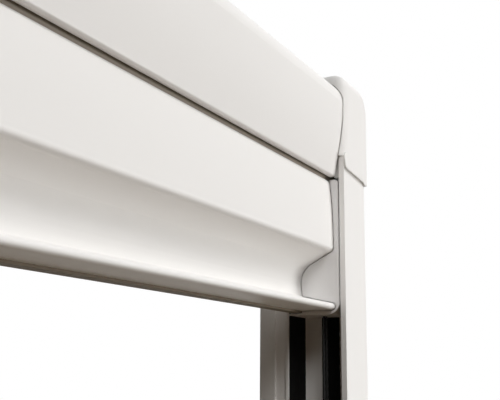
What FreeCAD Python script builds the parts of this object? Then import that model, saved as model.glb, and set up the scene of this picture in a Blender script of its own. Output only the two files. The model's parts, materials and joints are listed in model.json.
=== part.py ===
import FreeCAD, Part
import math
import os
import Sketcher

# Pleated insect screen for a window: a head cassette with two end caps, two guide rails, a bottom
# rail, a pull bar with a finger grip, and a pleated mesh that folds up inside the cassette.
# Row frame: +X to the right seen from the room, +Y towards the window, +Z up. The origin is the
# middle of the bottom rail's underside. All sizes are in millimetres.

doc = FreeCAD.newDocument("PleatedInsectScreen")
sheet = doc.addObject("Spreadsheet::Sheet", "Sizes")
pieces = []


class Size:
    """A length with its value and the sheet formula that gives it."""

    def __init__(self, value, formula):
        self.value = value
        self.formula = formula

    def __add__(self, other):
        other = as_size(other)
        return Size(self.value + other.value, f"({self.formula} + {other.formula})")

    def __sub__(self, other):
        other = as_size(other)
        return Size(self.value - other.value, f"({self.formula} - {other.formula})")

    def __mul__(self, factor):
        return Size(self.value * factor, f"({self.formula} * {factor})")

    def __truediv__(self, factor):
        return Size(self.value / factor, f"({self.formula} / {factor})")

    def __neg__(self):
        return Size(-self.value, f"(0 - {self.formula})")


def as_size(number):
    if isinstance(number, Size):
        return number
    return Size(float(number), f"{number}")


def size(alias, value, meaning):
    """Write one driving dimension to the sheet and return it."""
    row = size.count + 1
    size.count = row
    sheet.set(f"A{row}", alias)
    sheet.set(f"B{row}", f"{value}")
    sheet.set(f"C{row}", meaning)
    sheet.setAlias(f"B{row}", alias)
    return Size(float(value), f"Sizes.{alias}")


size.count = 0

# Whole screen
opening_width = size("opening_width", 952, "clear width between the two guide rails")
screen_height = size("screen_height", 1200, "sill to the top of the cassette")
fit_gap = size("fit_gap", 0.2, "clearance of plugs and spigots in the profiles")
slide_gap = size("slide_gap", 0.4, "clearance of the moving end caps in the rails")

# Guide rails, measured from the mouth outwards and from the front face back
rail_width = size("rail_width", 24, "rail across the screen's width")
rail_depth = size("rail_depth", 41, "rail from front to back")
rail_wall = size("rail_wall", 1.5, "outer walls of the rail")
rail_flange = size("rail_flange", 2.4, "front flange of the rail")
channel_depth = size("channel_depth", 18, "channel from its mouth to its floor")
channel_gap = size("channel_gap", 24.6, "channel from front wall to rear wall")
channel_floor = size("channel_floor", 2.2, "floor of the channel")
rear_web = size("rear_web", 1.9, "wall between the channel and the rear chamber")
web_lip = size("web_lip", 1.4, "lip of that wall at the channel's mouth")
groove_depth = size("groove_depth", 1.0, "shallow groove beside the mouth")
groove_width = size("groove_width", 5.2, "width of that groove")
rail_rise = size("rail_rise", 9, "rail end above the cassette's lower edge")
pile_thickness = size("pile_thickness", 0.7, "wool pile strips in the channel")
pile_margin = size("pile_margin", 0.8, "pile strip to the channel's mouth")
floor_pile_width = size("floor_pile_width", 8.6, "pile strip on the channel's floor")
fixing_radius = size("fixing_radius", 2.25, "screw holes for fixing to the reveal")
fixing_back = size("fixing_back", 22.9, "screw holes behind the rail's front")
fixing_low = size("fixing_low", 250, "lower screw hole above the sill")
fixing_high = size("fixing_high", 950, "upper screw hole above the sill")

# Cassette, measured up from its lower front edge and back from the rail's front
cassette_height = size("cassette_height", 43.9, "lower front edge to the top")
cassette_wall = size("cassette_wall", 1.5, "walls of the cassette")
bulge_back = size("bulge_back", 0.1, "foremost line of the cassette's front")
bulge_height = size("bulge_height", 33.6, "height of that line above the lower edge")
edge_back = size("edge_back", 4.2, "lower front edge of the cassette")
edge_round = size("edge_round", 1.1, "rounding of that edge")
cassette_inset = size("cassette_inset", 0.1, "end of the cassette before the rail's mouth")
cassette_joint = size("cassette_joint", 0.35, "open joint round the cassette in its end caps")
front_radius = size("front_radius", 150, "curve of the cassette's front")
cassette_lip = size("cassette_lip", 2.2, "turned-in lower edge of the cassette")
channel_boss = size("channel_boss", 7, "side of a screw channel in a profile")
boss_hole = size("boss_hole", 1.45, "radius of a screw channel's hole")
upper_screw = size("upper_screw", 33, "upper end cap screw above the lower edge")
lower_screw = size("lower_screw", 17, "lower end cap screw above the lower edge")

# Cassette end caps
cap_lap = size("cap_lap", 1.2, "cap over the end of the cassette")
cap_front_proud = size("cap_front_proud", 1.5, "cap in front of the rail")
cap_skirt_proud = size("cap_skirt_proud", 1.0, "cap in front of the rail at its lower edge")
cap_top_proud = size("cap_top_proud", 4.1, "cap above the cassette")
cap_side_proud = size("cap_side_proud", 2.0, "cap beyond the rail's outer side")
cap_corner_radius = size("cap_corner_radius", 7, "cap's top front rounding")
cap_outer_radius = size("cap_outer_radius", 19, "cap's top outer rounding")
cap_inner_round = size("cap_inner_round", 4.5, "rounding of the cap's edge beside the cassette")
cap_outer_round = size("cap_outer_round", 1.6, "rounding of the cap's outer edge")
cap_skirt_height = size("cap_skirt_height", 4.0, "skirt's inner lower edge above the cassette's")
skirt_reach = size("skirt_reach", 1.4, "skirt's upper corner over the rail's mouth")
skirt_corner_width = size("skirt_corner_width", 4.0, "skirt's upper corner beyond the rail's mouth")
skirt_outer = size("skirt_outer", 1.7, "skirt's outer lower edge above the cassette's")
cap_side_low = size("cap_side_low", 0.5, "lower edge of the cap's side wall")
side_low_round = size("side_low_round", 1.6, "rounding under the cap's side wall")
spigot_length = size("spigot_length", 25, "plugs that stand in the rails")
lug_length = size("lug_length", 12, "locating lugs in the cassette and the bar")
lug_thickness = size("lug_thickness", 4, "thickness of a locating lug")
tongue_thickness = size("tongue_thickness", 2.6, "tongue that closes the top of the channel")
tongue_inset = size("tongue_inset", 1.6, "front edge of the tongue behind the rail's mouth")

# Pull bar, measured down from the cassette's lower edge and back from the rail's front
bar_gap = size("bar_gap", 1.2, "gap between cassette and pull bar")
bar_height = size("bar_height", 57.2, "pull bar from top to underside")
bar_rear = size("bar_rear", 26.4, "rear face of the pull bar")
bar_wall = size("bar_wall", 1.6, "walls of the pull bar")
face_top_back = size("face_top_back", 6.7, "top of the bar's front face")
face_low_back = size("face_low_back", 5.4, "lower end of the bar's front face")
face_height = size("face_height", 29.4, "height of the bar's front face")
face_radius = size("face_radius", 260, "curve of the bar's front face")
face_top_round = size("face_top_round", 1.6, "rounding above the front face")
face_low_round = size("face_low_round", 2.2, "rounding below the front face")
grip_slope_back = size("grip_slope_back", 16.6, "where the finger grip's roof bends down")
grip_slope_low = size("grip_slope_low", 38.1, "level of that bend")
grip_radius = size("grip_radius", 9.6, "upper hollow of the finger grip")
grip_low_radius = size("grip_low_radius", 24, "lower hollow of the finger grip")
grip_back = size("grip_back", 20.9, "deepest line of the finger grip")
grip_mid = size("grip_mid", 46.7, "level of the deepest line")
grip_floor_back = size("grip_floor_back", 20.4, "foot of the finger grip")
grip_floor_low = size("grip_floor_low", 51.2, "level of that foot")
grip_round = size("grip_round", 1.2, "rounding between grip and lip")
lip_front = size("lip_front", 4.9, "tip of the lip")
lip_top_low = size("lip_top_low", 55.2, "upper face of the lip at its tip")
lip_round = size("lip_round", 1.4, "rounding of the lip's tip")
seal_width = size("seal_width", 5.8, "rubber seal under the bar")
seal_height = size("seal_height", 1.9, "height of that seal")
seal_tongue = size("seal_tongue", 1.4, "tongue of the seal in the bar's groove")

# Pull bar end caps
end_front = size("end_front", 2.9, "end cap's front face")
end_proud = size("end_proud", 0.3, "end cap's face before the rail's mouth")
end_recess = size("end_recess", 1.5, "recess in the end cap that the bar's end stands in")
end_joint = size("end_joint", 0.35, "open joint round the bar in that recess")
end_corner = size("end_corner", 5.0, "end plate's lower front corner")
end_drop = size("end_drop", 1.5, "end cap below the bar")
shoe_clear = size("shoe_clear", 0.6, "end cap to the channel's floor")

# Mesh, strips and cords
pleat_depth = size("pleat_depth", 16, "depth of the pleats")
pleat_tooth = size("pleat_tooth", 0.8, "depth of the notch between two folds")
mesh_overlap = size("mesh_overlap", 8, "mesh inside each guide channel")
strip_thickness = size("strip_thickness", 2.0, "clamping strip above the mesh")
strip_seat = size("strip_seat", 1.5, "raised seat for that strip under the cassette's ceiling")
strip_seat_width = size("strip_seat_width", 8, "width of that seat")
low_strip_width = size("low_strip_width", 13.4, "clamping strip below the mesh")
low_strip_thickness = size("low_strip_thickness", 3.6, "clamping strip below the mesh")
rib_width = size("rib_width", 2.8, "rib of the lower strip in the bar's slot")
rib_depth = size("rib_depth", 3.4, "rib of the lower strip in the bar's slot")
cord_radius = size("cord_radius", 0.5, "guide cords")
cord_clear = size("cord_clear", 0.4, "holes round the guide cords")
cord_bend = size("cord_bend", 4, "bend of a cord's centre line")
cord_inset = size("cord_inset", 106, "outer mesh cords from the rail's mouth")
outer_run = size("outer_run", 13.6, "outer cord inside the bar, below the edge")
cord_pitch = size("cord_pitch", 3, "distance between neighbouring cord runs")
cord_back_off = size("cord_back_off", 4.5, "outer rail cord to the channel's floor")

# Bottom rail, feet and seals
foot_height = size("foot_height", 8, "bottom rail and feet")
foot_proud = size("foot_proud", 0.6, "feet in front of and beside the rail")
bottom_wall = size("bottom_wall", 1.6, "walls of the bottom rail")
bottom_inset = size("bottom_inset", 0.6, "bottom rail behind the rail's faces")
bottom_chamfer = size("bottom_chamfer", 2.0, "sloping edges of the bottom rail")
anchor_height = size("anchor_height", 3.6, "cord anchors in the feet")
anchor_side = size("anchor_side", 7.2, "side of a cord anchor")
foot_screw = size("foot_screw", 20, "foot screw above the sill")
tape_width = size("tape_width", 9, "foam tape on the rear faces")
tape_thickness = size("tape_thickness", 1.0, "foam tape on the rear faces")

# Screws
screw_radius = size("screw_radius", 1.4, "shank of the self-tapping screws")
head_radius = size("head_radius", 2.9, "head of the screws")
head_height = size("head_height", 2.2, "head of the screws")
screw_sunk = size("screw_sunk", 3.0, "counterbore for a screw's head")
cap_screw_length = size("cap_screw_length", 32, "shank of the end cap screws")
foot_screw_length = size("foot_screw_length", 9, "shank of the foot screws")

# Counts and shares
PLEATS = 54
INNER_CORD_SHARE = 0.35

# Places worked out from the sizes
mouth = opening_width / 2
front = -rail_depth / 2
cassette_edge = screen_height - cassette_height
pleat_centre = front + rail_flange + channel_gap / 2
channel_rear = rail_flange + channel_gap
bar_bottom = bar_gap + bar_height
end_bottom = bar_bottom + end_drop
low_strip_top = bar_gap - low_strip_thickness
outer_cord = mouth - cord_inset
inner_cord = outer_cord * INNER_CORD_SHARE


def back(distance):
    """A place behind the rail's front face."""
    return front + distance


def above(distance):
    """A level above the cassette's lower front edge."""
    return cassette_edge + distance


def below(distance):
    """A level below the cassette's lower front edge."""
    return cassette_edge - distance


def out(distance):
    """A place outwards from the mouth of the right guide rail."""
    return mouth + distance


def new_body(name):
    body = doc.addObject("PartDesign::Body", name)
    body.Label = name
    return body


def arc_between(a, b, radius):
    """The shorter arc from a to b; its centre is on the left for a positive radius."""
    half = math.hypot(b[0] - a[0], b[1] - a[1]) / 2
    rise = math.sqrt(max(radius * radius - half * half, 0.0)) * (1 if radius > 0 else -1)
    left = ((a[1] - b[1]) / (2 * half), (b[0] - a[0]) / (2 * half))
    centre = FreeCAD.Vector((a[0] + b[0]) / 2 + left[0] * rise, (a[1] + b[1]) / 2 + left[1] * rise, 0)
    start = math.atan2(a[1] - centre.y, a[0] - centre.x)
    end = math.atan2(b[1] - centre.y, b[0] - centre.x)
    if radius < 0:
        start, end = end, start
    circle = Part.Circle(centre, FreeCAD.Vector(0, 0, 1), abs(radius))
    return Part.ArcOfCircle(circle, start, end)


def tie(sketch, kind, places, measure):
    """Add a constraint whose value follows the sheet."""
    index = sketch.addConstraint(Sketcher.Constraint(kind, *places, measure.value))
    sketch.setExpression(f"Constraints[{index}]", measure.formula)


def draw_loop(sketch, points):
    """Draw a closed outline; a third entry is the radius of the arc to the next point."""
    corners = [(as_size(p[0]), as_size(p[1])) for p in points]
    edges = []
    for i, point in enumerate(points):
        a = (corners[i][0].value, corners[i][1].value)
        following = corners[(i + 1) % len(points)]
        b = (following[0].value, following[1].value)
        if len(point) > 2:
            radius = point[2]
            edge = sketch.addGeometry(arc_between(a, b, radius.value))
            edges.append((edge, 1, 2) if radius.value > 0 else (edge, 2, 1))
            tie(sketch, "Radius", (edge,), radius if radius.value > 0 else -radius)
        else:
            line = Part.LineSegment(FreeCAD.Vector(a[0], a[1], 0), FreeCAD.Vector(b[0], b[1], 0))
            edges.append((sketch.addGeometry(line), 1, 2))
    for i, (edge, begin, end) in enumerate(edges):
        following = edges[(i + 1) % len(edges)]
        sketch.addConstraint(Sketcher.Constraint("Coincident", edge, end, following[0], following[1]))
        tie(sketch, "DistanceX", (-1, 1, edge, begin), corners[i][0])
        tie(sketch, "DistanceY", (-1, 1, edge, begin), corners[i][1])


def draw_circle(sketch, across, up, radius):
    centre = FreeCAD.Vector(across.value, up.value, 0)
    edge = sketch.addGeometry(Part.Circle(centre, FreeCAD.Vector(0, 0, 1), radius.value))
    tie(sketch, "Radius", (edge,), radius)
    tie(sketch, "DistanceX", (-1, 1, edge, 3), across)
    tie(sketch, "DistanceY", (-1, 1, edge, 3), up)


def draw(body, name, plane, start, loops=(), circles=()):
    """Sketch closed outlines on a plane of the body, moved along the plane's normal to start."""
    sketch = body.newObject("Sketcher::SketchObject", name)
    planes = [f for f in body.Origin.OriginFeatures if f.Role == plane]
    sketch.AttachmentSupport = [(planes[0], "")]
    sketch.MapMode = "FlatFace"
    sketch.setExpression(".AttachmentOffset.Base.z", as_size(start).formula)
    for points in loops:
        draw_loop(sketch, points)
    for across, up, radius in circles:
        draw_circle(sketch, as_size(across), as_size(up), as_size(radius))
    doc.recompute()
    return sketch


def pad(body, name, plane, start, end, loops=(), circles=()):
    """Add material between two places along the plane's normal."""
    sketch = draw(body, name + "_sketch", plane, start, loops, circles)
    feature = body.newObject("PartDesign::Pad", name)
    feature.Profile = sketch
    feature.setExpression("Length", (as_size(end) - start).formula)
    doc.recompute()
    return feature


def cut(body, name, plane, start, end, loops=(), circles=()):
    """Take material away between two places along the plane's normal."""
    before = body.Shape.Volume
    sketch = draw(body, name + "_sketch", plane, start, loops, circles)
    feature = body.newObject("PartDesign::Pocket", name)
    feature.Profile = sketch
    feature.Reversed = True
    feature.setExpression("Length", (as_size(end) - start).formula)
    doc.recompute()
    if body.Shape.Volume > before - 0.01:
        raise RuntimeError(f"{name} cuts nothing")
    return feature


def box_loop(left, right, low, high):
    return [(left, low), (right, low), (right, high), (left, high)]


def fillet(body, name, radius, wanted):
    """Round the edges whose ends and middle satisfy wanted."""
    names = []
    for index, edge in enumerate(body.Shape.Edges):
        if wanted(edge):
            names.append(f"Edge{index + 1}")
    if not names:
        raise RuntimeError(f"{name} finds no edge")
    last = body.Tip
    feature = body.newObject("PartDesign::Fillet", name)
    feature.Base = (last, names)
    feature.setExpression("Radius", radius.formula)
    body.Tip = feature
    doc.recompute()
    return feature


def keep(piece, label=None):
    """Hand a finished piece to the export under its label."""
    if label:
        piece.Label = label
    pieces.append(piece)
    return piece


def mirrored(source, label):
    """The left-hand twin of a right-hand piece."""
    twin = doc.addObject("Part::Mirroring", label)
    twin.Source = source
    twin.Normal = (1, 0, 0)
    twin.Base = (0, 0, 0)
    doc.recompute()
    return keep(twin, label)


def grouped(members, label):
    """Several separate solids kept as one node."""
    group = doc.addObject("Part::Compound", label)
    group.Links = members
    doc.recompute()
    return group


def both_sides(piece, stem):
    """Keep a piece as stem_right and its mirror image as stem_left."""
    keep(piece, stem + "_right")
    mirrored(piece, stem + "_left")


def screw(name, x, y, z, length, turn):
    """A pan head screw with a cross recess; turn is the angle that points its shank along X."""
    body = new_body(name)
    half = [
        (0, -length), (screw_radius * 0.3, -length), (screw_radius, screw_radius * 1.6 - length),
        (screw_radius, 0), (head_radius, 0), (head_radius, head_height * 0.55, head_radius * 0.8),
        (head_radius * 0.55, head_height), (0, head_height),
    ]
    sketch = draw(body, name + "_half", "XZ_Plane", 0, [half])
    turned = body.newObject("PartDesign::Revolution", name + "_turned")
    turned.Profile = sketch
    turned.ReferenceAxis = (sketch, ["V_Axis"])
    turned.Angle = 360
    doc.recompute()
    arm = head_radius * 0.62
    slot = head_radius * 0.14
    cross = [
        (-arm, -slot), (-slot, -slot), (-slot, -arm), (slot, -arm), (slot, -slot), (arm, -slot),
        (arm, slot), (slot, slot), (slot, arm), (-slot, arm), (-slot, slot), (-arm, slot),
    ]
    cut(body, name + "_recess", "XY_Plane", head_height * 0.4, head_height * 1.2, [cross])
    body.Placement.Rotation = FreeCAD.Rotation(FreeCAD.Vector(0, 1, 0), turn)
    body.setExpression(".Placement.Base.x", as_size(x).formula)
    body.setExpression(".Placement.Base.y", as_size(y).formula)
    body.setExpression(".Placement.Base.z", as_size(z).formula)
    doc.recompute()
    return body


# Head cassette: a hollow profile, open below, with two screw channels along its rear wall
top_radius = cassette_height - bulge_height
screw_back = rail_depth - cassette_wall - channel_boss / 2
strip_level = cassette_height - cassette_wall - strip_seat
cassette_end = mouth - cassette_inset
cap_rim = mouth - cap_lap


def cassette_outline(grown):
    """The cassette's outer outline, from its rear lower edge over the top to its front, grown all round."""
    return [
        (back(rail_depth + grown), above(-grown)),
        (back(rail_depth + grown), above(grown + cassette_height)),
        (back(bulge_back + top_radius), above(grown + cassette_height), top_radius + grown),
        (back(bulge_back - grown), above(bulge_height), front_radius + grown),
        (back(edge_back - grown), above(edge_round), edge_round + grown),
        (back(edge_back + edge_round), above(-grown)),
    ]


def make_head_cassette():
    body = new_body("head_cassette")
    inner_radius = top_radius - cassette_wall
    outline = [
        (back(edge_back + cassette_lip), above(0)),
        (back(edge_back + cassette_lip), above(cassette_wall)),
        (back(edge_back + cassette_wall), above(cassette_wall)),
        (back(edge_back + cassette_wall), above(cassette_wall * 2), -(front_radius - cassette_wall)),
        (back(bulge_back + cassette_wall), above(bulge_height), -inner_radius),
        (back(bulge_back + top_radius), above(cassette_height - cassette_wall)),
        (back(rail_depth - cassette_wall), above(cassette_height - cassette_wall)),
        (back(rail_depth - cassette_wall), above(0)),
    ]
    outline += cassette_outline(as_size(0))
    pad(body, "cassette_shell", "YZ_Plane", -cassette_end, cassette_end, [outline])
    for name, level in (("upper_channel", upper_screw), ("lower_channel", lower_screw)):
        side = channel_boss / 2
        block = box_loop(
            back(screw_back - side), back(screw_back + side + cassette_wall / 2),
            above(level - side), above(level + side),
        )
        hole = (back(screw_back), above(level), boss_hole)
        pad(body, name, "YZ_Plane", -cassette_end, cassette_end, [block], [hole])
    pad(body, "strip_seat_rib", "YZ_Plane", -cassette_end, cassette_end, [box_loop(
        pleat_centre - strip_seat_width / 2, pleat_centre + strip_seat_width / 2,
        above(strip_level), above(cassette_height - cassette_wall / 2),
    )])
    keep(body)


def make_cassette_end_cap():
    """The right cap: it covers the rail's top, plugs into the rail and carries the cassette."""
    body = new_body("cassette_end_cap")
    top = cassette_height + cap_top_proud
    side = rail_width + cap_side_proud
    outline = [
        (back(rail_depth), above(cap_side_low - 1)),
        (back(rail_depth), above(top)),
        (back(cap_corner_radius - cap_front_proud), above(top), cap_corner_radius),
        (back(-cap_front_proud), above(top - cap_corner_radius)),
        (back(-cap_skirt_proud), above(cap_side_low - 1)),
    ]
    pad(body, "cap_block", "YZ_Plane", cap_rim, out(side), [outline])
    corner = [
        (out(side - cap_outer_radius), above(top), -cap_outer_radius),
        (out(side), above(top - cap_outer_radius)),
        (out(side + 5), above(top - cap_outer_radius)),
        (out(side + 5), above(top + 5)),
        (out(side - cap_outer_radius), above(top + 5)),
    ]
    cut(body, "cap_outer_corner", "XZ_Plane", -back(rail_depth + 1), -back(-10), [corner])
    edge_front = -cap_front_proud
    round_off = [
        (out(side - cap_outer_round), back(edge_front), cap_outer_round),
        (out(side), back(edge_front + cap_outer_round)),
        (out(side + 5), back(edge_front + cap_outer_round)),
        (out(side + 5), back(edge_front - 5)),
        (out(side - cap_outer_round), back(edge_front - 5)),
    ]
    cut(body, "cap_outer_edge", "XY_Plane", above(cap_side_low - 2), above(top + 5), [round_off])

    def beside_cassette(edge):
        box = edge.BoundBox
        at_rim = abs(box.XMin - cap_rim.value) < 1e-4 and abs(box.XMax - cap_rim.value) < 1e-4
        on_top = box.ZMin > above(top - 0.1).value
        in_front = box.YMin < back(0).value and box.ZMax - box.ZMin > 1
        return at_rim and (on_top or in_front)

    fillet(body, "cap_inner_edge", cap_inner_round, beside_cassette)
    cut(body, "rail_socket", "XY_Plane", above(cap_side_low - 1), above(rail_rise + fit_gap), [
        box_loop(cap_rim - 1, out(rail_width + fit_gap), back(-fit_gap), back(rail_depth + 1)),
    ])
    cut(body, "cassette_recess", "YZ_Plane", cap_rim - 1, cassette_end + cassette_joint, [
        cassette_outline(cassette_joint),
    ])
    lower_edge = [
        (cap_rim - 1, above(cap_side_low - 2)), (out(side + 1), above(cap_side_low - 2)),
        (out(side + 1), above(cap_side_low + 2)), (out(side), above(cap_side_low + 1.2), -side_low_round),
        (out(side - 1.4), above(cap_side_low)), (out(rail_width - 1), above(cap_side_low + 0.2)),
        (out(rail_width - 3), above(skirt_outer)), (cap_rim - 1, above(cap_skirt_height)),
    ]
    cut(body, "skirt_edge", "XZ_Plane", -back(rail_depth + 1), -back(-10), [lower_edge])
    pad(body, "skirt_corner", "XZ_Plane", -back(-fit_gap), -back(-cap_skirt_proud), [[
        (out(-skirt_reach), above(rail_rise)), (out(0.4), above(cap_skirt_height)),
        (out(skirt_corner_width), above(cap_skirt_height - 0.2)),
        (out(skirt_corner_width), above(rail_rise + 2)), (out(0.8), above(rail_rise + 2)),
    ]])
    pocket_front = pleat_centre - pleat_depth / 2 - 2
    pocket_rear = pleat_centre + pleat_depth / 2 + 3
    cut(body, "mesh_pocket", "YZ_Plane", cap_rim - 1, out(mesh_overlap + 3), [
        box_loop(pocket_front, pocket_rear, above(0), above(cassette_height - cassette_wall)),
    ])
    chamber_front = channel_rear + rear_web
    pad(body, "rail_spigot", "XY_Plane", above(rail_rise - spigot_length), above(rail_rise + 1), [
        box_loop(
            out(rail_wall + groove_depth + fit_gap), out(rail_width - rail_wall - fit_gap),
            back(chamber_front + fit_gap), back(rail_depth - rail_wall - fit_gap),
        ),
    ])
    pad(body, "channel_tongue", "XY_Plane", above(0), above(rail_rise + 1), [
        box_loop(
            out(tongue_inset), out(channel_depth - fit_gap),
            back(rail_flange + fit_gap), back(rail_flange + fit_gap + tongue_thickness),
        ),
    ])
    lug_rear = screw_back - channel_boss / 2 - fit_gap
    pad(body, "cassette_lug", "YZ_Plane", out(-lug_length), out(2), [
        box_loop(
            back(lug_rear - lug_thickness), back(lug_rear),
            above(rail_rise + 2), above(cassette_height - cassette_wall - fit_gap),
        ),
    ])
    for name, level in (("upper", upper_screw), ("lower", lower_screw)):
        place = (back(screw_back), above(level))
        cut(body, name + "_screw_hole", "YZ_Plane", cap_rim - 1, out(side + 1), (), [(*place, boss_hole)])
        cut(body, name + "_head_seat", "YZ_Plane", out(side - screw_sunk), out(side + 1), (), [
            (*place, head_radius + fit_gap),
        ])
    both_sides(body, "cassette_end_cap")
    heads = [
        screw(
            "cap_screw_" + name, out(side - screw_sunk), back(screw_back), above(level),
            cap_screw_length, 90,
        )
        for name, level in (("upper", upper_screw), ("lower", lower_screw))
    ]
    both_sides(grouped(heads, "end_cap_screws"), "end_cap_screws")


def make_guide_rail():
    """The right rail: a channel open towards the mesh and two closed chambers."""
    body = new_body("guide_rail")
    pile_end = channel_depth - pile_thickness / 2
    strip_front = back(rail_flange) + channel_gap / 2 - floor_pile_width / 2
    strip_rear = strip_front + floor_pile_width
    web_rear = channel_rear + web_lip
    outline = [
        (out(0), back(0)),
        (out(rail_width), back(0)),
        (out(rail_width), back(rail_depth)),
        (out(0), back(rail_depth)),
        (out(0), back(web_rear + groove_width)),
        (out(groove_depth), back(web_rear + groove_width)),
        (out(groove_depth), back(web_rear)),
        (out(0), back(web_rear)),
        (out(0), back(channel_rear)),
        (out(pile_margin), back(channel_rear)),
        (out(pile_margin), back(channel_rear + pile_thickness)),
        (out(pile_end), back(channel_rear + pile_thickness)),
        (out(pile_end), back(channel_rear)),
        (out(channel_depth), back(channel_rear)),
        (out(channel_depth), strip_rear),
        (out(channel_depth + pile_thickness), strip_rear),
        (out(channel_depth + pile_thickness), strip_front),
        (out(channel_depth), strip_front),
        (out(channel_depth), back(rail_flange)),
        (out(pile_end), back(rail_flange)),
        (out(pile_end), back(rail_flange - pile_thickness)),
        (out(pile_margin), back(rail_flange - pile_thickness)),
        (out(pile_margin), back(rail_flange)),
        (out(0), back(rail_flange)),
    ]
    rear_chamber = box_loop(
        out(rail_wall + groove_depth), out(rail_width - rail_wall),
        back(channel_rear + rear_web), back(rail_depth - rail_wall),
    )
    outer_chamber = box_loop(
        out(channel_depth + channel_floor), out(rail_width - rail_wall),
        back(rail_wall), back(channel_rear),
    )
    pad(body, "rail_profile", "XY_Plane", foot_height, above(rail_rise), [
        outline, rear_chamber, outer_chamber,
    ])
    holes = [(back(fixing_back), fixing_low, fixing_radius), (back(fixing_back), fixing_high, fixing_radius)]
    cut(body, "fixing_holes", "YZ_Plane", out(channel_depth - 1), out(rail_width + 1), (), holes)
    foot_hole = [(back(rail_depth - rail_wall) - spigot_depth / 2 - fit_gap, foot_screw, boss_hole)]
    hole_start = out(rail_width - rail_wall - 0.5)
    cut(body, "foot_screw_hole", "YZ_Plane", hole_start, out(rail_width + 1), (), foot_hole)
    both_sides(body, "guide_rail")

    low = foot_height
    high = above(rail_rise)
    strips = {
        "rail_rear_pile": box_loop(
            out(pile_margin), out(pile_end), back(channel_rear), back(channel_rear + pile_thickness)),
        "rail_front_pile": box_loop(
            out(pile_margin), out(pile_end), back(rail_flange - pile_thickness), back(rail_flange)),
        "rail_floor_pile": box_loop(
            out(channel_depth), out(channel_depth + pile_thickness), strip_front, strip_rear),
    }
    for stem, loop in strips.items():
        strip = new_body(stem)
        pad(strip, stem + "_strip", "XY_Plane", low, high, [loop])
        both_sides(strip, stem)


spigot_depth = rail_depth - rail_wall - channel_rear - rear_web - fit_gap * 2


def make_feet():
    """The right foot: it closes the rail below and joins it to the bottom rail."""
    body = new_body("bottom_corner")
    pad(body, "foot_block", "XY_Plane", 0, foot_height, [
        box_loop(out(0), out(rail_width + foot_proud), back(-foot_proud), back(rail_depth)),
    ])

    def upright_front(edge):
        box = edge.BoundBox
        return box.ZMax - box.ZMin > 1 and box.YMax < back(1).value and box.XMin > out(5).value

    fillet(body, "foot_corner", foot_proud * 2.5, upright_front)
    pad(body, "foot_spigot", "XY_Plane", foot_height - 1, foot_height + spigot_length, [
        box_loop(
            out(rail_wall + groove_depth + fit_gap), out(rail_width - rail_wall - fit_gap),
            back(channel_rear + rear_web + fit_gap), back(rail_depth - rail_wall - fit_gap),
        ),
    ])
    hollow_front = bottom_inset + bottom_wall + bottom_chamfer
    hollow_rear = rail_depth - bottom_inset - bottom_wall - bottom_chamfer
    pad(body, "foot_tongue", "YZ_Plane", out(-spigot_length), out(1), [
        box_loop(
            back(hollow_front + fit_gap), back(hollow_rear - fit_gap),
            bottom_wall + fit_gap, foot_height - bottom_wall - fit_gap,
        ),
    ])
    middle = out(channel_depth - cord_back_off) - cord_pitch / 2
    half = anchor_side / 2
    cut(body, "anchor_recess", "XY_Plane", foot_height - anchor_height - 0.4, foot_height + 1, [
        box_loop(middle - half - fit_gap, middle + half + fit_gap,
                 pleat_centre - half - fit_gap, pleat_centre + half + fit_gap),
    ])
    hole_back = back(rail_depth - rail_wall) - spigot_depth / 2 - fit_gap
    cut(body, "foot_screw_hole", "YZ_Plane", out(rail_width - foot_screw_length - 2), out(rail_width), (), [
        (hole_back, foot_screw, boss_hole),
    ])
    both_sides(body, "bottom_corner")
    holder = screw("foot_screw", out(rail_width), hole_back, foot_screw, foot_screw_length, 90)
    both_sides(holder, "bottom_corner_screw")

    anchor = new_body("cord_anchor")
    anchor_top = foot_height - 0.4
    pad(anchor, "anchor_block", "XY_Plane", foot_height - anchor_height - 0.4, anchor_top, [
        box_loop(middle - half, middle + half, pleat_centre - half, pleat_centre + half),
    ])

    def top_edges(edge):
        return edge.BoundBox.ZMin > anchor_top.value - 0.01

    fillet(anchor, "anchor_round", foot_proud, top_edges)
    both_sides(anchor, "cord_anchor")

    rail = new_body("bottom_rail")
    face = bottom_inset
    outline = [
        (back(face), 0), (back(rail_depth - face), 0),
        (back(rail_depth - face), foot_height - bottom_chamfer),
        (back(rail_depth - face - bottom_chamfer), foot_height),
        (back(face + bottom_chamfer), foot_height), (back(face), foot_height - bottom_chamfer),
    ]
    hollow = box_loop(back(hollow_front), back(hollow_rear), bottom_wall, foot_height - bottom_wall)
    pad(rail, "bottom_profile", "YZ_Plane", -mouth, mouth, [outline, hollow])
    keep(rail)


cap_face = mouth - end_proud
recess_floor = cap_face + end_recess
bar_end = recess_floor - end_joint
seal_front = bar_rear - seal_width
seal_low = bar_bottom + 0.4
seal_top = seal_low - seal_height
bar_screw_low = (back(bar_rear - 2.3), below(grip_mid + 0.4))
bar_screw_high = (back(face_low_back + bar_wall + 3.3), below(bar_gap + face_height - 1.4))

# Directions square to the grip's roof and to the lip, forwards and down
ROOF_SQUARE = (0.46, 0.89)
LIP_SQUARE = (0.2, -0.98)


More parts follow.
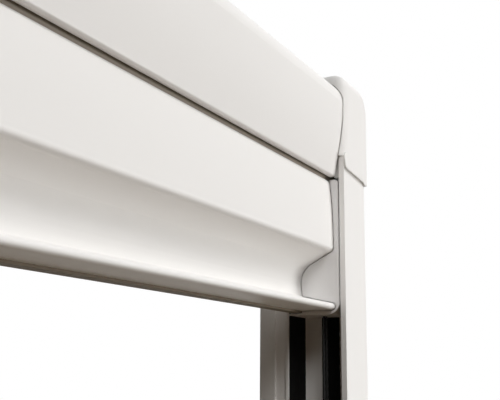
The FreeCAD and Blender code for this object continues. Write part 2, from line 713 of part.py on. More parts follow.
def bar_outline(grown, foot):
    """The pull bar's section, grown all round: a curved face, a finger grip below it and a thin lip."""
    face_low = bar_gap + face_height
    nose = face_low_round
    lip_low = lip_top_low + lip_round * 2
    return [
        (back(bar_rear + grown), below(bar_gap - grown)),
        (back(face_top_back + face_top_round), below(bar_gap - grown), face_top_round + grown),
        (back(face_top_back - grown), below(bar_gap + face_top_round), face_radius + grown),
        (back(face_low_back - grown), below(face_low), nose + grown),
        (back(face_low_back + nose * 0.9 - grown * ROOF_SQUARE[0]),
         below(face_low + nose * 1.25 + grown * ROOF_SQUARE[1])),
        (back(grip_slope_back - grown * ROOF_SQUARE[0]), below(grip_slope_low + grown * ROOF_SQUARE[1]),
         -(grip_radius - grown)),
        (back(grip_back - grown), below(grip_mid), -(grip_low_radius - grown)),
        (back(grip_floor_back - grown), below(grip_floor_low), -(grip_round - grown)),
        (back(grip_floor_back - grip_round * 1.1 - grown * LIP_SQUARE[0]),
         below(grip_floor_low + grip_round * 0.9 + grown * LIP_SQUARE[1])),
        (back(lip_front + lip_round - grown * LIP_SQUARE[0]), below(lip_top_low + grown * LIP_SQUARE[1]),
         lip_round + grown),
        (back(lip_front - grown), below(lip_top_low + lip_round), lip_round + grown),
        (back(lip_front + lip_round), below(lip_low + grown)),
        (back(seal_front - grown), below(lip_low + grown)),
        (back(seal_front - grown), below(foot)),
        (back(bar_rear + grown), below(foot)),
    ]


def make_pull_bar():
    body = new_body("pull_bar")
    pad(body, "bar_profile", "YZ_Plane", -bar_end, bar_end, [bar_outline(as_size(0), seal_top)])
    hollow = [
        (back(bar_rear - bar_wall), below(bar_gap + bar_wall)),
        (back(face_top_back + bar_wall), below(bar_gap + bar_wall)),
        (back(face_low_back + bar_wall + 0.5), below(bar_gap + face_height - 2)),
        (back(face_low_back + bar_wall + 1.4), below(bar_gap + face_height + 1.2)),
        (back(grip_slope_back + 0.2), below(grip_slope_low - bar_wall - 0.6)),
        (back(grip_back + 0.3), below(grip_slope_low + 1.2)),
        (back(bar_rear - bar_wall), below(grip_slope_low + 1.2)),
    ]
    cut(body, "bar_hollow", "YZ_Plane", -bar_end - 1, bar_end + 1, [hollow])
    side = channel_boss * 0.36
    pad(body, "bar_screw_channel", "YZ_Plane", -bar_end, bar_end, [box_loop(
        bar_screw_high[0] - side - 1.2, bar_screw_high[0] + side,
        bar_screw_high[1] - side, bar_screw_high[1] + side,
    )])
    cut(body, "bar_screw_holes", "YZ_Plane", -bar_end - 1, bar_end + 1, (), [
        (*bar_screw_high, boss_hole), (*bar_screw_low, boss_hole * 0.8),
    ])
    cut(body, "strip_slot", "YZ_Plane", -bar_end - 1, bar_end + 1, [box_loop(
        pleat_centre - rib_width / 2 - fit_gap / 2, pleat_centre + rib_width / 2 + fit_gap / 2,
        below(bar_gap + bar_wall + 1), below(bar_gap - 1),
    )])
    groove = back(seal_front + seal_width / 2)
    cut(body, "seal_groove", "YZ_Plane", -bar_end - 1, bar_end + 1, [box_loop(
        groove - seal_tongue / 2 - fit_gap / 2, groove + seal_tongue / 2 + fit_gap / 2,
        below(seal_top + 1), below(seal_top - seal_tongue - fit_gap),
    )])
    keep(body)

    seal = new_body("pull_bar_seal")
    tongue = seal_front + seal_width / 2
    pad(seal, "seal_profile", "YZ_Plane", -bar_end, bar_end, [[
        (back(seal_front), below(seal_top)),
        (back(seal_front + 0.3), below(seal_low)),
        (back(bar_rear - 0.3), below(seal_low)),
        (back(bar_rear), below(seal_top)),
        (back(tongue + seal_tongue / 2), below(seal_top)),
        (back(tongue + seal_tongue / 2), below(seal_top - seal_tongue)),
        (back(tongue - seal_tongue / 2), below(seal_top - seal_tongue)),
        (back(tongue - seal_tongue / 2), below(seal_top)),
    ]])
    keep(seal)


def make_bar_end_cap():
    """The right end cap: a recess for the bar's end and a shoe that runs in the channel."""
    body = new_body("pull_bar_end_cap")
    rear = channel_rear - slide_gap
    outline = [
        (back(rear), below(bar_gap)),
        (back(end_front + face_top_round), below(bar_gap), face_top_round),
        (back(end_front), below(bar_gap + face_top_round)),
        (back(end_front), below(end_bottom - end_corner), end_corner),
        (back(end_front + end_corner), below(end_bottom)),
        (back(rear), below(end_bottom)),
    ]
    pad(body, "end_block", "YZ_Plane", cap_face, out(channel_depth - shoe_clear), [outline])
    cut(body, "end_recess", "YZ_Plane", cap_face - 1, recess_floor, [
        bar_outline(end_joint, seal_low + end_joint),
    ])
    lug_rear = back(bar_rear - bar_wall - fit_gap)
    pad(body, "bar_lug", "YZ_Plane", bar_end - lug_length, recess_floor + 1, [
        box_loop(lug_rear - lug_thickness, lug_rear, below(grip_slope_low), below(bar_gap + bar_wall + 2)),
    ])
    slot = cord_radius + cord_clear + 0.2
    inner_run = outer_run + cord_pitch
    reach = channel_depth - cord_back_off
    run = [
        (cap_face - 1, below(inner_run + slot)),
        (out(reach - cord_pitch) - slot - cord_bend + slot, below(inner_run + slot)),
        (out(reach - cord_pitch) - slot, below(inner_run + slot + cord_bend - slot)),
        (out(reach - cord_pitch) - slot, below(end_bottom + 1)),
        (out(reach) + slot, below(end_bottom + 1)),
        (out(reach) + slot, below(outer_run - slot)),
        (cap_face - 1, below(outer_run - slot)),
    ]
    cut(body, "cord_slot", "XZ_Plane", -(pleat_centre + slot), -(pleat_centre - slot), [run])
    shoe_end = channel_depth - shoe_clear
    for name, place, hole in (("high", bar_screw_high, boss_hole), ("low", bar_screw_low, boss_hole * 0.9)):
        cut(body, name + "_hole", "YZ_Plane", recess_floor - 0.2, out(shoe_end + 1), (), [(*place, hole)])
        seat = head_radius + fit_gap if name == "high" else head_radius * 0.72 + fit_gap
        cut(body, name + "_seat", "YZ_Plane", out(shoe_end - screw_sunk), out(shoe_end + 1), (), [
            (*place, seat),
        ])
    both_sides(body, "pull_bar_end_cap")
    start = out(shoe_end - screw_sunk)
    high = screw("bar_screw_high", start, *bar_screw_high, cap_screw_length, 90)
    low = slim_screw("bar_screw_low", start, *bar_screw_low)
    both_sides(grouped([high, low], "pull_bar_end_screws"), "pull_bar_end_screws")


def slim_screw(name, x, y, z):
    """A plain headed screw for the narrow rear wall of the bar."""
    shank = doc.addObject("Part::Cylinder", name + "_shank")
    shank.setExpression("Radius", (screw_radius * 0.72).formula)
    shank.setExpression("Height", (cap_screw_length + 0.5).formula)
    head = doc.addObject("Part::Cylinder", name + "_head")
    head.setExpression("Radius", (head_radius * 0.72).formula)
    head.setExpression("Height", head_height.formula)
    placed = ((shank, as_size(x) - cap_screw_length), (head, as_size(x)))
    for item, start in placed:
        item.Placement.Rotation = FreeCAD.Rotation(FreeCAD.Vector(0, 1, 0), 90)
        item.setExpression(".Placement.Base.x", start.formula)
        item.setExpression(".Placement.Base.y", as_size(y).formula)
        item.setExpression(".Placement.Base.z", as_size(z).formula)
    whole = doc.addObject("Part::Fuse", name)
    whole.Base = shank
    whole.Tool = head
    doc.recompute()
    return whole


def make_mesh():
    """The folded mesh and its two clamping strips."""
    half_mesh = mouth + mesh_overlap
    strip_low = strip_level - strip_thickness
    hole = cord_radius + cord_clear
    places = [outer_cord, inner_cord, -inner_cord, -outer_cord]
    top = new_body("mesh_top_strip")
    pad(top, "top_strip_block", "YZ_Plane", -half_mesh, half_mesh, [box_loop(
        pleat_centre - pleat_depth / 2, pleat_centre + pleat_depth / 2,
        above(strip_low), above(strip_level),
    )])
    keep(top)

    low = new_body("mesh_bottom_strip")
    width = low_strip_width / 2
    pad(low, "low_strip_block", "YZ_Plane", -half_mesh, half_mesh, [box_loop(
        pleat_centre - width, pleat_centre + width, below(bar_gap), below(low_strip_top),
    )])
    pad(low, "low_strip_rib", "YZ_Plane", -bar_end, bar_end, [box_loop(
        pleat_centre - rib_width / 2, pleat_centre + rib_width / 2,
        below(bar_gap + rib_depth), below(bar_gap - 1),
    )])
    cut(low, "low_strip_holes", "XY_Plane", below(bar_gap + rib_depth + 1), below(low_strip_top - 1), (), [
        (place, pleat_centre, hole) for place in places
    ])
    keep(low)

    mesh = new_body("pleated_mesh")
    floor = below(low_strip_top)
    pitch = (above(strip_low) - floor) / PLEATS
    near = pleat_centre - pleat_depth / 2
    far = pleat_centre + pleat_depth / 2
    pleat = pad(mesh, "pleat", "YZ_Plane", -half_mesh, half_mesh, [[
        (near, floor), (far, floor), (far - pleat_tooth, floor + pitch / 2), (far, floor + pitch),
        (near, floor + pitch), (near + pleat_tooth, floor + pitch / 2),
    ]])
    stack = mesh.newObject("PartDesign::LinearPattern", "pleat_stack")
    stack.Originals = [pleat]
    stack.Direction = ([f for f in mesh.Origin.OriginFeatures if f.Role == "Z_Axis"][0], [""])
    stack.Occurrences = PLEATS
    stack.setExpression("Length", (pitch * (PLEATS - 1)).formula)
    mesh.Tip = stack
    doc.recompute()
    cut(mesh, "pleat_holes", "XY_Plane", floor - 1, above(strip_low + 1), (), [
        (place, pleat_centre, hole) for place in places
    ])
    keep(mesh)

    threads = []
    for index, place in enumerate(places):
        threads.append(straight_cord(f"mesh_cord_{index + 1}", place, below(low_strip_top), above(strip_low)))
    keep(grouped(threads, "mesh_cords"))


def straight_cord(name, x, low, high):
    cord = doc.addObject("Part::Cylinder", name)
    cord.setExpression("Radius", cord_radius.formula)
    cord.setExpression("Height", (as_size(high) - low).formula)
    cord.setExpression(".Placement.Base.x", as_size(x).formula)
    cord.setExpression(".Placement.Base.y", pleat_centre.formula)
    cord.setExpression(".Placement.Base.z", as_size(low).formula)
    doc.recompute()
    return cord


def bent_cord(name, x_in, level, x_out):
    """A cord that comes down at x_in, runs outwards inside the bar and leaves it at x_out."""
    body = new_body(name)
    bend = cord_bend
    path = body.newObject("Sketcher::SketchObject", name + "_path")
    plane = [f for f in body.Origin.OriginFeatures if f.Role == "XZ_Plane"][0]
    path.AttachmentSupport = [(plane, "")]
    path.MapMode = "FlatFace"
    path.setExpression(".AttachmentOffset.Base.z", (-pleat_centre).formula)
    corners = [
        (x_in, below(low_strip_top)), (x_in, below(level) + bend), (x_in + bend, below(level)),
        (x_out - bend, below(level)), (x_out, below(level) - bend), (x_out, below(end_bottom)),
    ]
    radii = (None, bend, None, -bend, None)
    edges = []
    for i, radius in enumerate(radii):
        a = (corners[i][0].value, corners[i][1].value)
        b = (corners[i + 1][0].value, corners[i + 1][1].value)
        if radius is None:
            line = Part.LineSegment(FreeCAD.Vector(a[0], a[1], 0), FreeCAD.Vector(b[0], b[1], 0))
            edges.append((path.addGeometry(line), 1, 2))
        else:
            edge = path.addGeometry(arc_between(a, b, radius.value))
            edges.append((edge, 1, 2) if radius.value > 0 else (edge, 2, 1))
            tie(path, "Radius", (edge,), bend)
    for i in range(len(edges) - 1):
        following = edges[i + 1]
        meeting = (edges[i][0], edges[i][2], following[0], following[1])
        path.addConstraint(Sketcher.Constraint("Coincident", *meeting))
    for i, corner in enumerate(corners):
        edge, begin, end = edges[min(i, len(edges) - 1)]
        point = begin if i < len(edges) else end
        tie(path, "DistanceX", (-1, 1, edge, point), corner[0])
        tie(path, "DistanceY", (-1, 1, edge, point), corner[1])
    doc.recompute()
    ring = draw(body, name + "_ring", "XY_Plane", below(low_strip_top), (), [
        (x_in, pleat_centre, cord_radius),
    ])
    pipe = body.newObject("PartDesign::AdditivePipe", name + "_pipe")
    pipe.Profile = ring
    pipe.Spine = path
    doc.recompute()
    return body


def make_cords():
    reach = channel_depth - cord_back_off
    outer = (outer_cord, outer_run, out(reach))
    inner = (inner_cord, outer_run + cord_pitch, out(reach - cord_pitch))
    bar_cords = [bent_cord("bar_cord_outer", *outer), bent_cord("bar_cord_inner", *inner)]
    both_sides(grouped(bar_cords, "bar_cords"), "bar_cords")
    anchor_top = foot_height - 0.4
    rail_cords = [
        straight_cord("rail_cord_outer", outer[2], anchor_top, below(end_bottom)),
        straight_cord("rail_cord_inner", inner[2], anchor_top, below(end_bottom)),
    ]
    both_sides(grouped(rail_cords, "rail_cords"), "rail_cords")

    pins = []
    for name, (x, level, _) in (("outer", outer), ("inner", inner)):
        pin = new_body("cord_guide_" + name)
        pin_front = face_top_back + bar_wall + 0.4
        pin_rear = bar_rear - bar_wall
        pad(pin, name + "_guide", "XZ_Plane", -back(pin_rear), -back(pin_front), (), [
            (x + cord_bend, below(level) + cord_bend, cord_bend - cord_radius - cord_clear / 2),
        ])
        pins.append(pin)
    both_sides(grouped(pins, "cord_guides"), "cord_guides")


def make_tapes():
    """Foam tape on the rear faces, where the screen meets the window frame."""
    rear = back(rail_depth)
    centre = out(rail_width / 2)
    side = new_body("frame_seal")
    pad(side, "side_tape", "XY_Plane", foot_height, above(0), [
        box_loop(centre - tape_width / 2, centre + tape_width / 2, rear, rear + tape_thickness),
    ])
    both_sides(side, "frame_seal")
    top = new_body("frame_seal_top")
    level = above(cassette_height - tape_width)
    pad(top, "top_tape", "YZ_Plane", -mouth, mouth, [
        box_loop(rear, rear + tape_thickness, level - tape_width / 2, level + tape_width / 2),
    ])
    keep(top)


make_head_cassette()
make_cassette_end_cap()
make_guide_rail()
make_feet()
make_pull_bar()
make_bar_end_cap()
make_mesh()
make_cords()
make_tapes()
doc.recompute()

for item in doc.Objects:
    if "Invalid" in item.State or "Error" in item.State:
        raise RuntimeError(f"{item.Label} did not build")
for piece in pieces:
    if piece.Shape.isNull() or not piece.Shape.isValid() or not piece.Shape.Solids:
        raise RuntimeError(f"{piece.Label} has no sound solid")

os.makedirs("parts", exist_ok=True)
for piece in pieces:
    piece.Shape.exportStep(f"parts/{piece.Label}.step")
print(len(pieces), "nodes written")
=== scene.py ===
import math

import bmesh
import bpy
from mathutils import Matrix, Vector
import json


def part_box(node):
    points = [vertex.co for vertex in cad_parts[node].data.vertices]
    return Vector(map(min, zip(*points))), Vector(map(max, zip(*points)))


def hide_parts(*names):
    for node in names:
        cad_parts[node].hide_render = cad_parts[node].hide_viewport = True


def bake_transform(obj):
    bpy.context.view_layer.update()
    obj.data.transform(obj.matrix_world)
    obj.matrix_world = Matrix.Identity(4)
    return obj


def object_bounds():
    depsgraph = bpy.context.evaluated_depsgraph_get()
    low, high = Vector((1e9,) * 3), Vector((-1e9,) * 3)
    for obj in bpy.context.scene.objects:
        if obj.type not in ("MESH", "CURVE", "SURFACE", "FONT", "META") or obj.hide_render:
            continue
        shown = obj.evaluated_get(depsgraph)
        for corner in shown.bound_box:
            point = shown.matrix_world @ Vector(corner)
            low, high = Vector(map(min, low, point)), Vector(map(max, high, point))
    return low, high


# Pleated insect screen seen from below and inside, towards its upper right corner. Metres, row frame.

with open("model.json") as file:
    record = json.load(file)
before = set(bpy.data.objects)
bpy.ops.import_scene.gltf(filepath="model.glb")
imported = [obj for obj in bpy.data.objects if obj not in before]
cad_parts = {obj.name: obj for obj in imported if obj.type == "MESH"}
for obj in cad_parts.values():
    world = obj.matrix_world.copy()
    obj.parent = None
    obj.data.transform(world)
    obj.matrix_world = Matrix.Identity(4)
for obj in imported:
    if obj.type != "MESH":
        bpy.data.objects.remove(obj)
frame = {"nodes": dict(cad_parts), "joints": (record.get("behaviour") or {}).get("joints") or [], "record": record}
cad_low, cad_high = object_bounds()
scene = bpy.context.scene

TRAVEL = frame["joints"][0]["range_m"][1]


# Places of the solids that the net and the camera start from

def node_box(name):
    """Lowest and highest corner of a CAD node."""
    low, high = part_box(name)
    return Vector(low), Vector(high)


mesh_low, mesh_high = node_box("pleated_mesh")
rail_low = node_box("guide_rail_right")[0]
cassette_low = node_box("head_cassette")[0]


# Nodes of the materials

def add(tree, kind, values=None, sources=None, **settings):
    """A new shader node, with values on some of its inputs and links into others."""
    node = tree.nodes.new("ShaderNode" + kind)
    for name, setting in settings.items():
        setattr(node, name, setting)
    for socket, value in (values or {}).items():
        node.inputs[socket].default_value = value
    for socket, source in (sources or {}).items():
        tree.links.new(source, node.inputs[socket])
    return node


def new_material(name):
    """A material that shows one Principled shader, with its node tree and that shader."""
    material = bpy.data.materials.new(name)
    material.use_nodes = True
    tree = material.node_tree
    tree.nodes.clear()
    shader = add(tree, "BsdfPrincipled")
    add(tree, "OutputMaterial", sources={"Surface": shader.outputs["BSDF"]})
    return material, tree, shader


def show(tree, surface_shader):
    """Let a material show another shader than its Principled one."""
    output = next(node for node in tree.nodes if node.bl_idname == "ShaderNodeOutputMaterial")
    tree.links.new(surface_shader, output.inputs["Surface"])


def dress(tree, shader, tone, normal, rough, shine=0.5):
    """Give a shader its tone, its relief, its roughness and its shine."""
    tree.links.new(tone, shader.inputs["Base Color"])
    if normal is not None:
        tree.links.new(normal, shader.inputs["Normal"])
    shader.inputs["Roughness"].default_value = rough
    shader.inputs["Specular IOR Level"].default_value = shine


def placed(tree, stretch=(1, 1, 1)):
    """Object coordinates in metres, stretched along the axes."""
    place = add(tree, "TexCoord")
    mapping = add(tree, "Mapping", {"Scale": stretch}, {"Vector": place.outputs["Object"]})
    return mapping.outputs["Vector"]


def noise(tree, vector, scale, detail=3.0, rough=0.5):
    values = {"Scale": scale, "Detail": detail, "Roughness": rough}
    return add(tree, "TexNoise", values, {"Vector": vector}).outputs["Fac"]


def spread(tree, value, low, high):
    """Map a 0 to 1 value onto low to high."""
    return add(tree, "MapRange", {"To Min": low, "To Max": high}, {"Value": value}).outputs["Result"]


def two_colours(tree, value, first, second):
    """The first colour where the value is 0, the second where it is 1."""
    colours = {"A": (*first, 1), "B": (*second, 1)}
    return add(tree, "Mix", colours, {"Factor": value}, data_type="RGBA").outputs["Result"]


def bumped(tree, height, depth, normal=None):
    """A normal with the relief of a 0 to 1 height, depth metres deep."""
    sources = {"Height": height}
    if normal is not None:
        sources["Normal"] = normal
    return add(tree, "Bump", {"Strength": 1.0, "Distance": depth}, sources).outputs["Normal"]


def soft_edges(tree, radius):
    """A normal that rounds the sharp edges of a profile by a small radius."""
    return add(tree, "Bevel", {"Radius": radius}, samples=4).outputs["Normal"]


def maths(tree, operation, first, second=None):
    """The result of a Math node on one socket, or on a socket and a second socket or number."""
    node = add(tree, "Math", sources={0: first}, operation=operation)
    if isinstance(second, float):
        node.inputs[1].default_value = second
    elif second is not None:
        tree.links.new(second, node.inputs[1])
    return node.outputs[0]


# Materials: every one is built from nodes and varies over the surface

def surface(name, colour, rough, grain, depth, edge=0.0, metal=0.0, drift=0.04, shine=0.5):
    """A coated, moulded or painted surface: slow drift of tone, fine grain, and softened edges."""
    material, tree, shader = new_material(name)
    vector = placed(tree)
    slow = noise(tree, vector, scale=9.0, detail=2.0)
    darker = [c * (1 - drift) for c in colour]
    paler = [c * min(1 + drift, 1 / max(colour)) for c in colour]
    fine = noise(tree, vector, scale=grain, detail=2.0, rough=0.55)
    rounding = soft_edges(tree, edge) if edge else None
    tone = two_colours(tree, slow, darker, paler)
    dress(tree, shader, tone, bumped(tree, fine, depth, rounding), rough, shine)
    tree.links.new(spread(tree, fine, rough * 0.9, rough * 1.1), shader.inputs["Roughness"])
    shader.inputs["Metallic"].default_value = metal
    return material


def pile_material():
    """Dense black wool pile: short hairs across the strip, nearly no sheen."""
    material, tree, shader = new_material("black_pile")
    vector = placed(tree, stretch=(1, 1, 0.35))
    hairs = noise(tree, vector, scale=2600, detail=2.0, rough=0.7)
    tufts = noise(tree, vector, scale=420, detail=3.0, rough=0.6)
    tone = two_colours(tree, tufts, (0.003, 0.0032, 0.0032), (0.012, 0.012, 0.0115))
    dress(tree, shader, tone, bumped(tree, hairs, depth=0.0006), rough=0.95, shine=0.08)
    return material


def rubber_material():
    """The seal under the pull bar: extruded rubber with fine lengthwise lines and a random drift of tone; the
    brown cast of its tones is a painted warm reflection.
    """
    material, tree, shader = new_material("seal_rubber")
    lines = noise(tree, placed(tree, stretch=(0.02, 1, 1)), scale=2200, detail=2.0)
    tone_drift = noise(tree, placed(tree), scale=60, detail=4.0)
    # Painted warm reflection: both tones carry the brown cast of warm light bounced from below the bar.
    tone = two_colours(tree, tone_drift, (0.2, 0.165, 0.125), (0.29, 0.245, 0.19))
    dress(tree, shader, tone, bumped(tree, lines, depth=0.00008), rough=0.62, shine=0.2)
    return material


def foam_material():
    """Closed-cell foam tape."""
    material, tree, shader = new_material("foam_tape")
    cells = add(tree, "TexVoronoi", {"Scale": 1100}, {"Vector": placed(tree)}).outputs["Distance"]
    tone = two_colours(tree, cells, (0.02, 0.02, 0.021), (0.055, 0.055, 0.056))
    dress(tree, shader, tone, bumped(tree, cells, depth=0.0003), rough=0.85)
    return material


THREAD_WIDTH = 0.00034
THREAD_PITCHES = {"X": 0.0011, "Y": 0.0013}
CLOTH_MAP = "cloth"


def net_material():
    """Fine net: woven threads over open cells, laid out along the cloth in metres."""
    material, tree, shader = new_material("mesh_cloth")
    place = add(tree, "UVMap", uv_map=CLOTH_MAP)
    along = add(tree, "SeparateXYZ", sources={"Vector": place.outputs["UV"]})

    def thread(axis):
        """1 on a thread, 0 between two threads."""
        pitch = THREAD_PITCHES[axis]
        step = maths(tree, "FRACT", maths(tree, "DIVIDE", along.outputs[axis], pitch))
        return maths(tree, "LESS_THAN", step, THREAD_WIDTH / pitch)

    slub = noise(tree, placed(tree), scale=300, detail=3.0)
    tone = two_colours(tree, slub, (0.018, 0.018, 0.019), (0.04, 0.04, 0.042))
    dress(tree, shader, tone, normal=None, rough=0.7)
    clear = add(tree, "BsdfTransparent")
    woven = add(tree, "MixShader", sources={
        "Fac": maths(tree, "MAXIMUM", thread("X"), thread("Y")),
        1: clear.outputs["BSDF"],
        2: shader.outputs["BSDF"],
    })
    show(tree, woven.outputs["Shader"])
    return material


def cord_material():
    """Braided cord: bands of strands that run askew round it."""
    material, tree, shader = new_material("cord_fibre")
    vector = placed(tree, stretch=(1, 1, 0.25))
    weave = {"Scale": 900, "Distortion": 2.0}
    braid = add(tree, "TexWave", weave, {"Vector": vector}, bands_direction="DIAGONAL").outputs["Fac"]
    tone = two_colours(tree, braid, (0.008, 0.008, 0.008), (0.02, 0.02, 0.019))
    dress(tree, shader, tone, bumped(tree, braid, depth=0.0001), rough=0.75)
    return material


WHITE = (0.87, 0.855, 0.835)
SURFACES = {
    "white_coat": dict(
        colour=WHITE, rough=0.45, grain=2400, depth=0.000012, edge=0.0004, drift=0.012, shine=0.25,
    ),
    "white_plastic": dict(
        colour=WHITE, rough=0.5, grain=1700, depth=0.00002, edge=0.0005, drift=0.01, shine=0.25,
    ),
    "shoe_plastic": dict(
        colour=(0.8, 0.79, 0.785), rough=0.45, grain=1500, depth=0.00002, edge=0.0005, drift=0.02,
        shine=0.3,
    ),
    # Painted warm reflection: the brown cast of strip_plastic stands in for warm light bounced from below the bar.
    "strip_plastic": dict(
        colour=(0.42, 0.37, 0.31), rough=0.5, grain=1200, depth=0.00003, edge=0.0003, shine=0.2,
    ),
    "screw_steel": dict(
        colour=(0.62, 0.62, 0.64), rough=0.32, grain=3000, depth=0.00002, edge=0.0002, drift=0.1,
        metal=1.0,
    ),
}
looks = {name: surface(name, **look) for name, look in SURFACES.items()}
looks["black_pile"] = pile_material()
looks["seal_rubber"] = rubber_material()
looks["foam_tape"] = foam_material()
looks["mesh_cloth"] = net_material()
looks["cord_fibre"] = cord_material()

for entry in frame["record"]["subparts"]:
    part = frame["nodes"][entry["node"]]
    part.data.materials.clear()
    part.data.materials.append(looks[entry["material_slot"]])


# Pleated mesh: two panels per pleat, tied so that the drawn pleats lie evenly

PLEATS = 54
COLUMNS = 25
FOLD_CLEARANCE = 0.0002
FOLD_SWAY = 0.0005
SWAY_PER_FOLD = 5.1
SWAY_PER_COLUMN = 2.3
HALVINGS = 50


def mesh_object(name, vertices, faces, material, smooth=False):
    data = bpy.data.meshes.new(name)
    data.from_pydata(vertices, [], faces)
    data.materials.append(material)
    data.update()
    if smooth:
        data.shade_smooth()
    item = bpy.data.objects.new(name, data)
    scene.collection.objects.link(item)
    return item


def weight(level):
    share = (mesh_high.z - level) / (mesh_high.z - mesh_low.z)
    share = min(max(share, 0.0), 1.0)
    return share * share * (3 - 2 * share)


def folded_level(drawn):
    """The level in the folded stack of a fold that hangs at the level drawn when the bar is down."""
    low, high = mesh_low.z, mesh_high.z
    for _ in range(HALVINGS):
        middle = (low + high) / 2
        if middle - weight(middle) * TRAVEL > drawn:
            high = middle
        else:
            low = middle
    return (low + high) / 2


def make_pleats():
    """The net as one zigzag cloth, folded between the cassette and the bar."""
    near, far = mesh_low.y + FOLD_CLEARANCE, mesh_high.y - FOLD_CLEARANCE
    width = mesh_high.x - mesh_low.x
    panels = 2 * PLEATS
    panel = far - near
    drop = (mesh_high.z - mesh_low.z + TRAVEL) / panels
    vertices = []
    for i in range(panels + 1):
        level = folded_level(mesh_high.z - drop * i)
        for j in range(COLUMNS):
            x = mesh_low.x + width * j / (COLUMNS - 1)
            sway = abs(FOLD_SWAY * math.sin(SWAY_PER_FOLD * i + SWAY_PER_COLUMN * j))
            if i in (0, panels):
                sway = 0.0
            vertices.append((x, near + sway if i % 2 == 0 else far - sway, level))
    faces = []
    for i in range(panels):
        for j in range(COLUMNS - 1):
            a = i * COLUMNS + j
            faces.append((a, a + 1, a + COLUMNS + 1, a + COLUMNS))
    cloth = mesh_object("pleated_net", vertices, faces, looks["mesh_cloth"])
    layer = cloth.data.uv_layers.new(name=CLOTH_MAP)
    for loop in cloth.data.loops:
        row, column = divmod(loop.vertex_index, COLUMNS)
        layer.data[loop.index].uv = (width * column / (COLUMNS - 1), row * panel)
    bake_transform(cloth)
    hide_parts("pleated_mesh")


make_pleats()


# Cords, which get longer or shorter as the bar moves, drawn as straight round tubes

CORD_RADIUS = 0.0005
CORD_SIDES = 12
SAME_CORD = 0.002


def tube(name, x, y, low, high):
    """The round side of a straight upright cord, whose ends meet the pieces that hold it."""
    vertices = []
    for level in (low, high):
        for k in range(CORD_SIDES):
            turn = 2 * math.pi * k / CORD_SIDES
            vertices.append((x + CORD_RADIUS * math.cos(turn), y + CORD_RADIUS * math.sin(turn), level))
    faces = []
    for k in range(CORD_SIDES):
        following = (k + 1) % CORD_SIDES
        faces.append((k, following, following + CORD_SIDES, k + CORD_SIDES))
    return mesh_object(name, vertices, faces, looks["cord_fibre"], smooth=True)


def islands(node):
    """Lowest and highest corner of each piece of a CAD node's mesh that joins no other."""
    work = bmesh.new()
    work.from_mesh(frame["nodes"][node].data)
    left = set(work.verts)
    found = []
    while left:
        stack = [left.pop()]
        points = []
        while stack:
            vertex = stack.pop()
            points.append(vertex.co.copy())
            for link in vertex.link_edges:
                other = link.other_vert(vertex)
                if other in left:
                    left.remove(other)
                    stack.append(other)
        low = [min(point[i] for point in points) for i in range(3)]
        high = [max(point[i] for point in points) for i in range(3)]
        found.append((low, high))
    work.free()
    return sorted(found)


def cord_runs(node):
    """Centre, lowest and highest level of each upright cord in a CAD node, from left to right.

    A cord's side and its two ends are pieces of their own in the mesh, and go together by their centre.
    """
    runs = []
    for low, high in islands(node):
        x, y = (low[0] + high[0]) / 2, (low[1] + high[1]) / 2
        for run in runs:
            if abs(run[0] - x) < SAME_CORD and abs(run[1] - y) < SAME_CORD:
                run[2] = min(run[2], low[2])
                run[3] = max(run[3], high[2])
                break
        else:
            runs.append([x, y, low[2], high[2]])
    return sorted(runs)


def stretch_cords(node):
    """Replace the cords of a node by straight round tubes from end to end of each cord."""
    cords = []
    for number, (x, y, low, high) in enumerate(cord_runs(node)):
        cord = tube(f"{node}_{number + 1}", x, y, low, high)
        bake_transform(cord)
        cords.append(cord)
    for cord in cords:
        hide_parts(node)


stretch_cords("mesh_cords")
stretch_cords("rail_cords_right")
stretch_cords("rail_cords_left")


# Camera: below the cassette, close to the right rail, looking up and to the right

YAW = math.radians(29.08)
PITCH = math.radians(11.22)
ROLL = math.radians(0.478)
FOCUS_PX = 780.0
PICTURE_PX = 500.0
SENSOR_MM = 36.0
SHIFT_UP = 0.04
EYE_LEFT_OF_MOUTH = 0.30821
EYE_BEFORE_RAIL = 0.12475
EYE_BELOW_CASSETTE = 0.08541
CLIP_NEAR = 0.01
CLIP_FAR = 100.0


def make_camera():
    data = bpy.data.cameras.new("camera")
    data.sensor_width = SENSOR_MM
    data.lens = FOCUS_PX / PICTURE_PX * SENSOR_MM
    data.shift_y = SHIFT_UP
    data.clip_start = CLIP_NEAR
    data.clip_end = CLIP_FAR
    item = bpy.data.objects.new("camera", data)
    scene.collection.objects.link(item)
    ahead = Vector((math.cos(PITCH) * math.cos(YAW), math.cos(PITCH) * math.sin(YAW), math.sin(PITCH)))
    level = Vector((math.sin(YAW), -math.cos(YAW), 0))
    upright = level.cross(ahead)
    right = level * math.cos(ROLL) + upright * math.sin(ROLL)
    up = upright * math.cos(ROLL) - level * math.sin(ROLL)
    corner = Vector((rail_low.x, rail_low.y, cassette_low.z))
    eye = corner - Vector((EYE_LEFT_OF_MOUTH, EYE_BEFORE_RAIL, EYE_BELOW_CASSETTE))
    axes = Matrix((right, up, -ahead)).transposed()
    item.matrix_world = Matrix.Translation(eye) @ axes.to_4x4()
    scene.camera = item


make_camera()


# Floor, backdrop and studio light

FLOOR_COLOUR = (0.34, 0.28, 0.2)
FLOOR_HALF = 3.0
FLOOR_GAP = 0.0005
FLOOR_LIFT = 0.62
AMBIENT_COLOUR = (1.0, 0.88, 0.72, 1)
AMBIENT_STRENGTH = 0.006
LAMPS = {
    "front_high": dict(place=(0.5, -3.0, 3.9), aim=(0.476, 0, 1.1), side=2.0, power=85),
    "upper_left": dict(place=(-1.32, -1.52, 3.07), aim=(0.476, 0, 1.12), side=1.2, power=2.9, beam=50),
    "right_near": dict(place=(0.72, -0.75, 1.06), aim=(0.476, 0, 1.13), side=0.3, power=2.6),
    "warm_low": dict(
        place=(0.15, -0.25, 0.55), aim=(0.4, 0, 1.1), side=0.5, power=0.08, colour=(1, 0.4, 0.1),
    ),
    "back_level": dict(place=(1.1, 4.2, 1.15), aim=(0, 0, 0.9), side=1.5, power=6, beam=36),
}


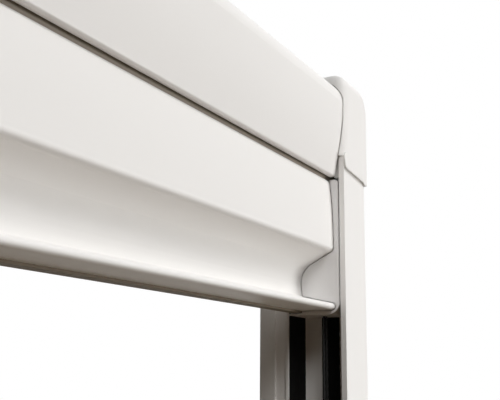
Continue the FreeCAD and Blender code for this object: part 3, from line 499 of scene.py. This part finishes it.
def seen_paler(material, strength):
    """Lift the tone of a material where the camera looks at it, and nowhere else."""
    tree = material.node_tree
    shader = next(node for node in tree.nodes if node.bl_idname == "ShaderNodeBsdfPrincipled")
    path = add(tree, "LightPath")
    lift = maths(tree, "MULTIPLY", path.outputs["Is Camera Ray"], strength)
    glow = add(tree, "Emission", sources={"Strength": lift})
    total = add(tree, "AddShader", sources={0: shader.outputs["BSDF"], 1: glow.outputs["Emission"]})
    show(tree, total.outputs["Shader"])
    return material


def make_floor():
    paint = surface(
        "floor_paint", FLOOR_COLOUR, rough=0.8, grain=140, depth=0.0002, drift=0.02, shine=0.2,
    )
    half = FLOOR_HALF
    corners = [(-half, -half, 0), (half, -half, 0), (half, half, 0), (-half, half, 0)]
    floor = mesh_object("floor", corners, [(0, 1, 2, 3)], seen_paler(paint, FLOOR_LIFT))
    floor.location.z = cad_low.z - FLOOR_GAP


def make_backdrop():
    """White for the camera, mirrors and glass, and a faint warm ambient light for the rest."""
    world = bpy.data.worlds.new("studio")
    scene.world = world
    world.use_nodes = True
    tree = world.node_tree
    tree.nodes.clear()
    path = add(tree, "LightPath").outputs
    mirrored = maths(tree, "MAXIMUM", path["Is Glossy Ray"], path["Is Transmission Ray"])
    seen = maths(tree, "MAXIMUM", path["Is Camera Ray"], mirrored)
    ambient = add(tree, "Background", {"Color": AMBIENT_COLOUR, "Strength": AMBIENT_STRENGTH})
    white = add(tree, "Background", {"Color": (1, 1, 1, 1), "Strength": 1.0})
    mix = add(tree, "MixShader", sources={"Fac": seen, 1: ambient.outputs[0], 2: white.outputs[0]})
    add(tree, "OutputWorld", sources={"Surface": mix.outputs[0]})


def softbox(name, place, aim, side, power, colour=(1, 1, 1), beam=180):
    """A square lamp of side metres that looks from place to aim, with a beam of so many degrees."""
    data = bpy.data.lights.new(name, "AREA")
    data.shape = "SQUARE"
    data.size = side
    data.energy = power
    data.color = colour
    data.spread = math.radians(beam)
    item = bpy.data.objects.new(name, data)
    scene.collection.objects.link(item)
    item.location = place
    item.rotation_euler = (Vector(aim) - Vector(place)).to_track_quat("-Z", "Y").to_euler()


scene.view_settings.view_transform = "Standard"
make_floor()
make_backdrop()
for name, lamp in LAMPS.items():
    softbox(name, **lamp)
